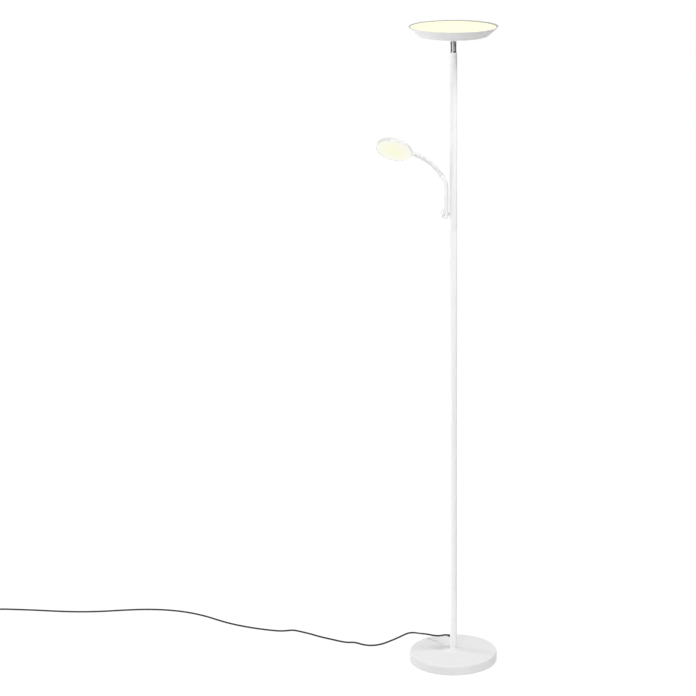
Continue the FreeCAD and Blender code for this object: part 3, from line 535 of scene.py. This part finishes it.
def add_mat(name, middle, half_width, colour):
    """Dark square on the floor that only takes bounced light away on its side."""
    mesh = bmesh.new()
    bmesh.ops.create_grid(mesh, x_segments=1, y_segments=1, size=half_width)
    bmesh.ops.translate(mesh, vec=(*middle, MAT_LIFT), verts=mesh.verts)
    material, _, shader, _ = start_material(name, Roughness=1.0, Specular_IOR_Level=0.0)
    shader.inputs["Base Color"].default_value = linear(colour)
    mat = add_object(name, mesh, material)
    mat.visible_camera = False
    mat.visible_glossy = False
    mat.visible_shadow = False
    mat.visible_transmission = False


def set_light():
    """Even world, broad ceiling light, three area lamps, the dark mat and the cards."""
    set_world()
    ceiling = bpy.data.objects.new("ceiling", bpy.data.lights.new("ceiling", "SUN"))
    ceiling.data.energy = CEILING_LIGHT
    ceiling.data.angle = math.radians(CEILING_SPREAD)
    bpy.context.collection.objects.link(ceiling)
    add_lamp("left", (-2.92, 0.68, 1.3), (0, 0, 1.2), 0.5, 35)
    add_lamp("right", (1.8, -0.5, 4.0), (0, 0, 1.0), 1.2, 80)
    add_lamp("front", (-0.7, -4.1, 1.6), (0, 0, 1.4), 2.0, 67)
    add_mat("floor_flag", (1.6, -0.4), 1.35, "#5A5A5A")
    add_card("flag_left", -118, -66, "#080808")
    add_card("flag_right", 2, 97, "#747474")
    add_card("flag_rear_right", 97, 150, "#242424")
    bpy.context.scene.view_settings.view_transform = "Standard"


# ---- shapes ----------------------------------------------------------------------------
def add_piece(name, mesh, slot, body=None, finish=None):
    """Make an object of a bmesh, smooth but for its sharp edges, and finish it."""
    piece = add_object(name, mesh, finish or FINISH[slot])
    piece.data.polygons.foreach_set("use_smooth", [True] * len(piece.data.polygons))
    piece.data.set_sharp_from_angle(angle=math.radians(SHARP_ANGLE))
    if body:
        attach(piece, body)
    return piece


def round_corners(mesh, rounded):
    """Round the corners of a flat outline, given as (vert, radius) pairs."""
    reaches = []
    for vert, radius in rounded:
        ways = [edge.other_vert(vert).co - vert.co for edge in vert.link_edges]
        reaches.append(radius / math.tan(ways[0].angle(ways[1]) / 2))
    for (vert, radius), reach in zip(rounded, reaches):
        bmesh.ops.bevel(
            mesh, geom=[vert], affect="VERTICES", offset=reach,
            segments=CORNER_STEPS, profile=0.5, material=-1,
        )


def turned(corners, steps):
    """A bmesh spun about Z from (radius, height) or (radius, height, rounding) corners in mm.

    The outline is closed, except along the axis where it starts and ends there.
    """
    mesh = bmesh.new()
    verts = [mesh.verts.new((corner[0], 0, corner[1])) for corner in corners]
    follow = verts[1:] if corners[0][0] == 0 else verts[1:] + verts[:1]
    for pair in zip(verts, follow):
        mesh.edges.new(pair)
    round_corners(mesh, [(vert, corner[2]) for vert, corner in zip(verts, corners) if len(corner) > 2])
    bmesh.ops.spin(
        mesh, geom=mesh.verts[:] + mesh.edges[:], axis=UP, cent=(0, 0, 0),
        steps=steps, angle=2 * math.pi, use_merge=True,
    )
    bmesh.ops.remove_doubles(mesh, verts=mesh.verts, dist=1e-4)
    bmesh.ops.recalc_face_normals(mesh, faces=mesh.faces)
    bmesh.ops.scale(mesh, vec=(MM, MM, MM), verts=mesh.verts)
    return mesh


def place(mesh, origin, z_axis=UP, x_axis=None):
    """Move a bmesh made at the origin to its place, with its Z and X turned to directions."""
    if x_axis:
        turn = Matrix((x_axis, Vector(z_axis).cross(x_axis), z_axis)).transposed()
    else:
        turn = Vector(z_axis).to_track_quat("Z", "Y").to_matrix()
    matrix = Matrix.Translation(Vector(origin) * MM) @ turn.to_4x4()
    bmesh.ops.transform(mesh, matrix=matrix, verts=mesh.verts)
    return mesh


def ease_edges(mesh, width_mm):
    """Merge a cut bmesh and take its sharp edges off."""
    bmesh.ops.remove_doubles(mesh, verts=mesh.verts, dist=1e-6)
    bmesh.ops.recalc_face_normals(mesh, faces=mesh.faces)
    sharp = [
        edge for edge in mesh.edges
        if len(edge.link_faces) == 2 and edge.calc_face_angle() > EASED_ANGLE
    ]
    bmesh.ops.bevel(
        mesh, geom=sharp, affect="EDGES", offset=width_mm * MM,
        segments=3, profile=0.5, material=-1,
    )
    return mesh


# ---- mains lead ------------------------------------------------------------------------
def lead_points():
    """The lead's route in millimetres, from the strain relief to the plug."""
    first = Vector(RELIEF_TIP) + Vector(RELIEF_LINE) * 14
    low = FLOOR_LEVEL
    points = [
        RELIEF_TIP,
        tuple(first),
        (-40, 58, 46.6),
        (-57, 75, 41.2),
        (-78, 98, 36.4),
        (-94, 126, 26.5),
        (-103, 160, 14.0),
        (-114, 187, 5.0),
        (-131.5, 191.5, low),
        (-157, 158, low),
        (-184, 126, low),
        (-211, 100, low),
        (-240, 93, low),
        (-263, 102, low),
        (-284, 119, low),
        (-307, 117, low),
        (-327, 126, low),
        (-357, 144, low),
        (-387, 161, low),
        (-417, 184, low),
        (-447, 202, low),
        (-468, 214, low),
        (-491, 206, low),
        (-514, 206, low),
        (-559, 219, low),
        (-610, 239, low),
        (-656, 264, low),
        (-694, 291, low),
        (-729, 320, low),
        (-785, 353, low),
        (-845, 372, low),
        (-912, 379, low),
        (-980, 372, low),
        (-1045, 361, low),
        (-1110, 357, low),
        (-1178, 362, low),
        (-1242, 371, low),
        (-1305, 377, low),
        (-1346, 380, low),
        (-1374, 378, low),
        (-1391, 376, low),
    ]
    return points + coil_points() + [(TAIL_END, COIL_CENTRE[1] + COIL_RADIUS, low + COIL_LAYER_STEP)]


def coil_points():
    """Two turns wound in on the floor and out again on top, in millimetres.

    The spline cuts inside its points, so they stand a little outside the turns.
    """
    outside = 1 / (0.75 + 0.25 * math.cos(math.radians(COIL_POINT_STEP)))
    middle = sum(COIL_CLIMB) / 2
    points = []
    for wound in range(0, COIL_TURN + 1, COIL_POINT_STEP):
        radius = COIL_RADIUS - COIL_SIDE_STEP / 360 * (middle - abs(wound - middle))
        climbed = min(max((wound - COIL_CLIMB[0]) / (COIL_CLIMB[1] - COIL_CLIMB[0]), 0), 1)
        height = FLOOR_LEVEL + COIL_LAYER_STEP * (1 - math.cos(math.pi * climbed)) / 2
        angle = math.radians(90 + wound)
        if 0 < wound < COIL_TURN:
            radius *= outside
        points.append((
            COIL_CENTRE[0] + radius * math.cos(angle),
            COIL_CENTRE[1] + radius * math.sin(angle),
            height,
        ))
    return points


def make_lead(on_it):
    """The lead, from its strain relief to its plug. Those pieces are made apart and passed in as on_it,
    which is not used.
    """
    points = lead_points()
    curve = bpy.data.curves.new("mains_lead", "CURVE")
    curve.dimensions = "3D"
    spline = curve.splines.new("NURBS")
    spline.points.add(len(points) - 1)
    for point, spot in zip(spline.points, points):
        point.co = (*(Vector(spot) * MM), 1)
    spline.order_u = 3
    spline.use_endpoint_u = True
    spline.resolution_u = 8
    curve.bevel_depth = CORD_DIAMETER / 2
    curve.bevel_resolution = 5
    curve.use_fill_caps = True
    curve.materials.append(FINISH["black_cord"])
    lead = bpy.data.objects.new("mains_lead", curve)
    bpy.context.collection.objects.link(lead)
    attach(lead, "stand")
    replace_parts(lead, "cord_stretch", "cord_coil", "cord_tail")


def groove(low, width, rim, floor, far_floor, far_rim):
    """Corners of a groove round a turned moulding: where it starts, its width, and its radii."""
    high = low + width
    return [
        (rim, low, 0.15), (floor, low + GROOVE_FLANK, 0.1),
        (far_floor, high - GROOVE_FLANK, 0.1), (far_rim, high, 0.15),
    ]


def make_relief():
    """Flanged strain relief in the pole's wall, with grooves that let its taper flex."""
    wide, narrow = 4.6, 3.1
    start, end = 11.6, 32
    corners = [(0, 4), (4.7, 4, 0.4), (4.7, 6.4, 0.4), (4, 6.4), (4, start), (wide, start, 0.5)]
    for low in (14, 16.5, 19, 21.5, 24, 26.5, 29):
        radius = wide - (wide - narrow) * (low - start) / (end - start)
        corners += groove(low, 1.3, radius, radius - 0.7, radius - 0.75, radius - 0.1)
    corners += [(narrow, end, 0.3), (0, end)]
    relief = place(turned(corners, 48), (0, 0, RELIEF_HEIGHT), RELIEF_LINE)
    relief = add_piece("relief_grooved", relief, "black_cord", "stand")
    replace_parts(relief, "cord_strain_relief")
    return relief


def make_plug():
    """Flat two-pin plug on the floor: its moulding, its flexible neck, sleeves and pins."""
    start = Vector((TAIL_END, COIL_CENTRE[1] + COIL_RADIUS, PLUG_HEIGHT))
    left = (-1, 0, 0)
    mesh = bmesh.new()
    outer = PLUG_HALF_WIDTH
    plan = [
        (12, -9, 3), (24, -outer, 6), (PLUG_LENGTH, -outer, 1.5),
        (PLUG_LENGTH, outer, 1.5), (24, outer, 6), (12, 9, 3),
    ]
    verts = [mesh.verts.new((x, y, 0)) for x, y, radius in plan]
    for pair in zip(verts, verts[1:] + verts[:1]):
        mesh.edges.new(pair)
    round_corners(mesh, [(vert, radius) for vert, (x, y, radius) in zip(verts, plan)])
    bmesh.ops.contextual_create(mesh, geom=mesh.edges[:])
    made = bmesh.ops.extrude_face_region(mesh, geom=mesh.faces[:])["geom"]
    top = [item for item in made if isinstance(item, bmesh.types.BMVert)]
    bmesh.ops.translate(mesh, vec=(0, 0, 2 * PLUG_HEIGHT), verts=top)
    bmesh.ops.recalc_face_normals(mesh, faces=mesh.faces)
    rims = [edge for edge in mesh.edges if abs(edge.verts[0].co.z - edge.verts[1].co.z) < 0.01]
    bmesh.ops.bevel(
        mesh, geom=rims, affect="EDGES", offset=2, segments=4, profile=0.5, material=-1,
    )
    bmesh.ops.scale(mesh, vec=(MM, MM, MM), verts=mesh.verts)
    place(mesh, start - UP * PLUG_HEIGHT, UP, left)
    moulding = add_piece("plug_moulding", mesh, "black_plastic", "stand")
    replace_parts(moulding, "plug_body")
    corners = [(0, 0), (4.4, 0, 0.5)]
    for low in (1.6, 3.8, 6, 8.2):
        corners += groove(low, 1.2, 4.45, 3.7, 3.7, 4.5)
    corners += [(4.5, 14), (0, 14)]
    neck = add_piece("plug_neck_grooved", place(turned(corners, 40), start, left), "black_plastic", "stand")
    pieces = [moulding, neck]
    for side, name in ((-1, "near"), (1, "far")):
        root = start + Vector((-PLUG_LENGTH, side * PIN_OFFSET, 0))
        sleeve = turned([(0, -2), (1.95, -2), (1.95, 10, 0.1), (0, 10)], 32)
        pin = turned([(0, 9), (2, 9), (2, 19, 1.5), (0, 19)], 32)
        pieces.append(add_piece(f"pin_sleeve_{name}", place(sleeve, root, left), "black_plastic", "stand"))
        pin = add_piece(f"pin_{name}", place(pin, root, left), "pin_metal", "stand")
        pieces.append(pin)
    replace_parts(pin, "plug_pins")
    return pieces


# ---- base and pole ---------------------------------------------------------------------
def make_base():
    """Spun steel cover with its lower edge eased, and a shallow cone up to the pole."""
    rim, low, high = 123, 1, 26.7
    top, cone = 35.7, 29.9
    cover = turned([
        (5.3, top),
        (15.5, top, 1.2),
        (31, cone, 40),
        (rim, high, 3),
        (rim, low, FINE_ROUND),
        (rim - BASE_SHEET, low, FINE_ROUND),
        (rim - BASE_SHEET, high - BASE_SHEET, 1.8),
        (31, cone - BASE_SHEET, 41),
        (14.9, top - BASE_SHEET),
        (5.3, top - BASE_SHEET),
    ], 160)
    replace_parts(add_piece("base_cover_sheet", cover, "white_steel", "stand"), "base_cover")


def make_pole():
    """The two upper tubes, whose eased ends make the fine seams."""
    for name, node, low, high in (
        ("pole_tube_middle", "pole_middle_tube", LOWER_SEAM, UPPER_SEAM),
        ("pole_tube_upper", "pole_upper_tube", UPPER_SEAM, POLE_TOP),
    ):
        tube = turned([
            (POLE_RADIUS, low, SEAM_ROUND),
            (POLE_RADIUS, high, SEAM_ROUND),
            (POLE_BORE, high),
            (POLE_BORE, low),
        ], 72)
        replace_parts(add_piece(name, tube, "white_steel", "stand", TUBE_FINISH), node)


# ---- tilting neck and uplight ----------------------------------------------------------
def cut_away(mesh, point, normal):
    """Cut off what lies beyond a plane, in millimetres, and close the cut."""
    cut = bmesh.ops.bisect_plane(
        mesh, geom=mesh.verts[:] + mesh.edges[:] + mesh.faces[:], dist=1e-7,
        plane_co=Vector(point) * MM, plane_no=normal, clear_outer=True,
    )["geom_cut"]
    rim = [item for item in cut if isinstance(item, bmesh.types.BMEdge)]
    if rim:
        bmesh.ops.holes_fill(mesh, edges=rim, sides=0)


def round_end(mesh, pin, radius, way):
    """Round a blade's upper or lower end about the pin's axis, which runs along X."""
    for step in range(1, 18):
        angle = math.radians(10 * step)
        normal = Vector((0, math.cos(angle), way * math.sin(angle)))
        cut_away(mesh, pin + normal * radius, normal)


def make_neck():
    """Chrome fork on the pole, the bowl's tongue between its cheeks, and the tilt pin."""
    wide = NECK_RADIUS
    pin = Vector((0, 0, TILT_PIN_HEIGHT))
    collar = turned([(0, 0), (wide, 0, 0.5), (wide, 6, 0.3), (0, 6)], 96)
    fork = add_piece("fork_collar", place(collar, (0, 0, POLE_TOP)), "chrome", "stand")
    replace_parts(fork, "neck_fork")
    for side, name in ((-1, "left"), (1, "right")):
        cheek = place(turned([(0, 0), (wide, 0), (wide, 26), (0, 26)], 96), (0, 0, POLE_TOP + 5.5))
        cut_away(cheek, (side * 3.75, 0, 0), (-side, 0, 0))
        round_end(cheek, pin, wide, 1)
        add_piece(f"fork_cheek_{name}", ease_edges(cheek, 0.3), "chrome", "stand")
    blade = place(turned([(0, 0), (wide, 0), (wide, 27), (0, 27)], 96), (0, 0, POLE_TOP + 6))
    for side in (-1, 1):
        cut_away(blade, (side * 3.1, 0, 0), (side, 0, 0))
    round_end(blade, pin, 15, -1)
    tongue = add_piece("tongue_blade", ease_edges(blade, 0.25), "chrome", "uplight")
    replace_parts(tongue, "neck_tongue")
    cap = place(turned([(0, 0), (wide, 0, 0.6), (wide, 12, 0.2), (0, 12)], 96), pin + UP * 10)
    add_piece("tongue_cap", cap, "chrome", "uplight")
    dish = [(0, 0.4), (2.6, 0.4, 2), (3.3, 0, 0.3), (4.2, 0, 0.5), (4.2, 1.9)]
    head = turned(dish + [(2.5, 1.9), (2.5, 9), (0, 9)], 48)
    place(head, pin - Vector((NECK_RADIUS, 0, 0)), (1, 0, 0))
    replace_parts(add_piece("tilt_pin_dished", head, "chrome", "stand"), "tilt_pin")
    cap = turned(dish + [(0, 1.9)], 48)
    place(cap, pin + Vector((NECK_RADIUS, 0, 0)), (-1, 0, 0))
    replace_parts(add_piece("tilt_nut_dished", cap, "chrome", "stand"), "tilt_nut")


def make_uplight():
    """Spun bowl, the trim ring that holds the opal disc, and the disc."""
    floor = (0, 0, BOWL_FLOOR)
    bowl = place(turned([
        (4.95, 0),
        (92, 0, 8),
        (106.5, 12.5, 70),
        (121, 26, FINE_ROUND),
        (119.53, 26, FINE_ROUND),
        (105.03, 12.5, 69),
        (91.5, BOWL_WALL, 7),
        (4.95, BOWL_WALL),
    ], 192), floor)
    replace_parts(add_piece("bowl_shell", bowl, "white_steel", "uplight"), "uplight_bowl")
    # The trim ring's grey finish is painted shade of the gap round the disc.
    ring = place(turned([(114.99, 23.4), (116.69, 23.4), (118.41, 25, 0.2), (114.99, 25, 0.5)], 192), floor)
    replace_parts(add_piece("trim_ring", ring, "grey_plastic", "uplight"), "uplight_ring")
    disc = place(turned([(0, 23.4), (116.69, 23.4), (114.54, 21.4), (0, 21.4)], 192), floor)
    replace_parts(add_piece("uplight_opal_disc", disc, "opal", "uplight"), "uplight_diffuser")


# ---- foot of the reading arm -----------------------------------------------------------
def make_arm_foot():
    """Domed foot of the bent tube, with the spigot that the tube sits on."""
    foot = turned([
        (0, 0), (ARM_RADIUS, 0, 5), (ARM_RADIUS, 24, FINE_ROUND), (5.15, 24), (5.15, 36), (0, 36),
    ], 56)
    place(foot, (-ARM_OFFSET, 0, ARM_FOOT_HEIGHT))
    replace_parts(add_piece("arm_foot_turned", foot, "white_plastic", "stand"), "arm_foot")


def make_knob():
    """Dished knob with shallow flutes round its side, and its mark."""
    steps = 2 * KNOB_FLUTES
    rim = KNOB_RADIUS
    knob = turned([
        (0, 6.2), (7.5, 6.2, 4), (9.4, 6.6, 2), (rim, 6.6, 2.6),
        (rim, 0, 0.75), (1.55, 0), (1.55, 5), (0, 5),
    ], steps)
    for vert in knob.verts:
        across = Vector((vert.co.x, vert.co.y, 0))
        column = round(math.atan2(across.y, across.x) / (2 * math.pi) * steps)
        run = max(across.length / MM - (rim - KNOB_FLUTE_RUN), 0)
        depth = KNOB_FLUTE_DEPTH * min(run / KNOB_FLUTE_RUN, 1)
        if column % 2 and depth:
            vert.co -= across.normalized() * depth * MM
    left = (-1, 0, 0)
    knob = add_piece("knob_fluted", place(knob, KNOB_BACK, left, UP), "white_plastic", "knob")
    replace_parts(knob, "dimmer_knob")
    mark = turned([(0, 6.1), (1, 6.1), (1, 6.4, 0.15), (0, 6.4)], 24)
    bmesh.ops.translate(mark, vec=(6 * MM, 0, 0), verts=mark.verts)
    add_piece("knob_mark", place(mark, KNOB_BACK, left, UP), "driver", "knob")


# ---- gooseneck -------------------------------------------------------------------------
def arm_heading(degrees):
    """Direction in the arm's plane, by degrees from upright towards the left."""
    return Vector((-math.sin(math.radians(degrees)), 0, math.cos(math.radians(degrees))))


def gooseneck_joints():
    """The gooseneck's joints in their order along the arm."""
    names = [f"gooseneck_{'sway' if i % 2 else 'bend'}_{i // 2 + 1}" for i in range(JOINT_COUNT)]
    found = {joint["name"]: joint for joint in frame["joints"]}
    return [found[name] for name in names]


def link_outline():
    """Closed outline of a straight link about Z, in mm: ribs, a bore, and a socket at each end."""
    rim = math.acos(LINK_SET_BACK / SOCKET_RADIUS)
    lip = math.asin(LINK_BORE / SOCKET_RADIUS)
    lower = []
    for i in range(CORNER_STEPS + 1):
        angle = rim + (lip - rim) * i / CORNER_STEPS
        lower.append((SOCKET_RADIUS * math.sin(angle), SOCKET_RADIUS * math.cos(angle)))
    upper = [(radius, LINK_PITCH - height) for radius, height in reversed(lower)]
    step = RIB_PITCH / STEPS_PER_RIB
    heights = [step * i for i in range(1, round(LINK_PITCH / step))]
    heights = [height for height in heights if LINK_SET_BACK < height < LINK_PITCH - LINK_SET_BACK]
    ribs = []
    for height in [LINK_SET_BACK] + heights + [LINK_PITCH - LINK_SET_BACK]:
        swell = abs(math.sin(math.pi * height / RIB_PITCH)) ** RIB_FULLNESS
        ribs.append((RIB_ROOT + (RIB_CREST - RIB_ROOT) * swell, height))
    return lower + upper + ribs[::-1]


def make_link(number, joint):
    """Ribbed link from one joint to the next, curved as the gooseneck is at rest."""
    turn = (GOOSENECK_HEADING - ARM_HEADING) / JOINT_COUNT
    start = ARM_HEADING + turn * (number - 0.5)
    radius = LINK_PITCH / 2 / math.sin(math.radians(turn) / 2) * MM
    pivot = Vector(joint["pos_m"]) + arm_heading(start + 90) * radius
    mesh = turned(link_outline(), 56)
    for vert in mesh.verts:
        swept = start + turn * vert.co.z / MM / LINK_PITCH
        vert.co = pivot - arm_heading(swept + 90) * (radius + vert.co.x) + Vector((0, vert.co.y, 0))
    body = f"gooseneck_{number}"
    link = add_piece(f"{body}_hose", mesh, "white_steel", body, GOOSENECK_FINISH)
    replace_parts(link, f"gooseneck_link_{number}")


def make_ball(number, joint):
    """Ball at a joint, which closes the gap between two links however they turn."""
    mesh = bmesh.new()
    bmesh.ops.create_uvsphere(mesh, u_segments=56, v_segments=28, radius=BALL_RADIUS * MM)
    bmesh.ops.translate(mesh, vec=joint["pos_m"], verts=mesh.verts)
    body = joint["child"] if number == JOINT_COUNT else joint["parent"]
    add_piece(f"gooseneck_ball_{number}", mesh, "white_steel", body, GOOSENECK_FINISH)


def make_gooseneck():
    """Balls and links between the ferrule on the bent tube and the stem of the head."""
    joints = gooseneck_joints()
    for number, joint in enumerate(joints, 1):
        make_ball(number, joint)
        if number < JOINT_COUNT:
            make_link(number, joint)
    first = Vector(joints[0]["pos_m"]) / MM
    length = FERRULE_LENGTH
    ferrule = turned([(6.25, 0), (6.8, 0, 0.3), (6.8, length, 0.8), (2.2, length), (2.2, 5), (6.25, 5)], 56)
    start = first - arm_heading(ARM_HEADING) * (length + FACE_GAP)
    place(ferrule, start, arm_heading(ARM_HEADING))
    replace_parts(add_piece("ferrule_turned", ferrule, "white_plastic", "stand"), "arm_ferrule")
    last = Vector(joints[-1]["pos_m"]) / MM
    stem = turned([
        (0, FACE_GAP), (ARM_RADIUS, FACE_GAP, 0.5), (ARM_RADIUS, 5, 1.2), (3, 5), (3, 13.4), (0, 13.4),
    ], 56)
    place(stem, last, arm_heading(GOOSENECK_HEADING))
    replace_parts(add_piece("stem_turned", stem, "white_plastic", "arm_tip"), "head_stem")


# ---- reading head ----------------------------------------------------------------------
def make_reading_head():
    """Straight-sided disc with a rounded back, its swivel collar and its opal disc."""
    axis = arm_heading(GOOSENECK_HEADING)
    roll = math.radians(HEAD_ROLL)
    back = Vector((axis.z, 0, -axis.x)) * math.cos(roll) + Vector((0, 1, 0)) * math.sin(roll)
    last = Vector(gooseneck_joints()[-1]["pos_m"]) / MM
    face = last + axis * HEAD_DISTANCE - back * HEAD_AXIS_DEPTH
    inside = HEAD_DEPTH - HEAD_WALL
    shell = turned([
        (0, HEAD_DEPTH),
        (HEAD_RADIUS - 1, HEAD_DEPTH, 5),
        (HEAD_RADIUS, 0, FINE_ROUND),
        (HEAD_RADIUS - HEAD_WALL, 0, FINE_ROUND),
        (46.89, inside, 3.8),
        (0, inside),
    ], 160)
    place(shell, face, back, -axis)
    # The shell's darker white is painted shade.
    shell = add_piece("reading_shell", shell, "white_plastic", "reading_head", SHELL_FINISH_PAINTED_SHADE)
    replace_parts(shell, "reading_housing")
    collar = turned([(3.05, 0), (4.4, 0), (4.4, 4, 0.35), (3.05, 4, 0.3)], 40)
    add_piece("swivel_collar", place(collar, last + axis * 9.4, -axis), "white_plastic", "reading_head")
    disc = turned([(0, 2.2), (47.58, 2.2), (47.58, 0.6, 0.3), (0, 0.6)], 160)
    place(disc, face, back, -axis)
    disc = add_piece("reading_opal_disc", disc, "opal", "reading_head", opal_acrylic_head(face))
    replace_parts(disc, "reading_diffuser")


# ---- the scene -------------------------------------------------------------------------
set_camera()
set_floor()
set_light()
dress_nodes()
make_lead([make_relief()] + make_plug())
make_base()
make_pole()
make_neck()
make_uplight()
make_arm_foot()
make_knob()
make_gooseneck()
make_reading_head()
bpy.context.view_layer.update()
